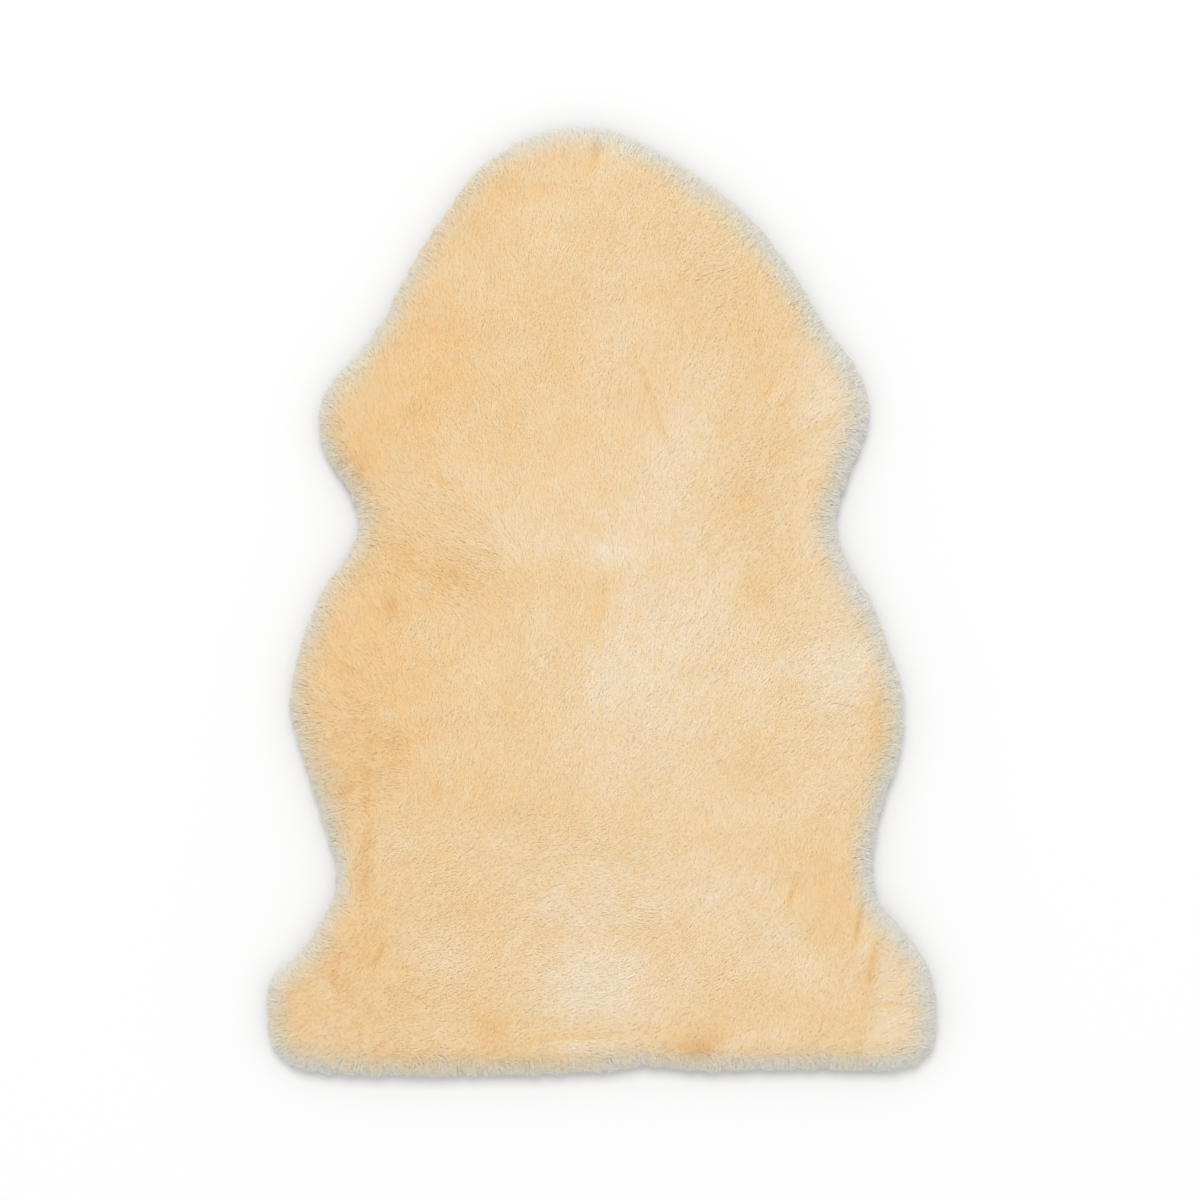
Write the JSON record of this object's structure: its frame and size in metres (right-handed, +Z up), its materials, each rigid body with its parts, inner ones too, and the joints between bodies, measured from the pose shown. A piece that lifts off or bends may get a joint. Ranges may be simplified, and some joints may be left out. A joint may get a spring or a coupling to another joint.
{
  "type": "sheepskin rug",
  "caption": "Flat one-piece sheepskin rug with short sheared cream wool, a rounded neck end, waisted sides and a straight-cut rump end between hind lobes.",
  "frame": {"origin": "on the floor, under the middle of the rug's box", "axes": "+Z up through the pile, +Y from the straight-cut rump end towards the neck end, +X to the right seen from above with the neck away"},
  "size_m": [0.672, 0.951, 0.0315],
  "materials": {
    "fleece": "matte",
    "hide": "matte"
  },
  "bodies": {
    "root": {"sheepskin": "fleece"}
  },
  "joints": []
}
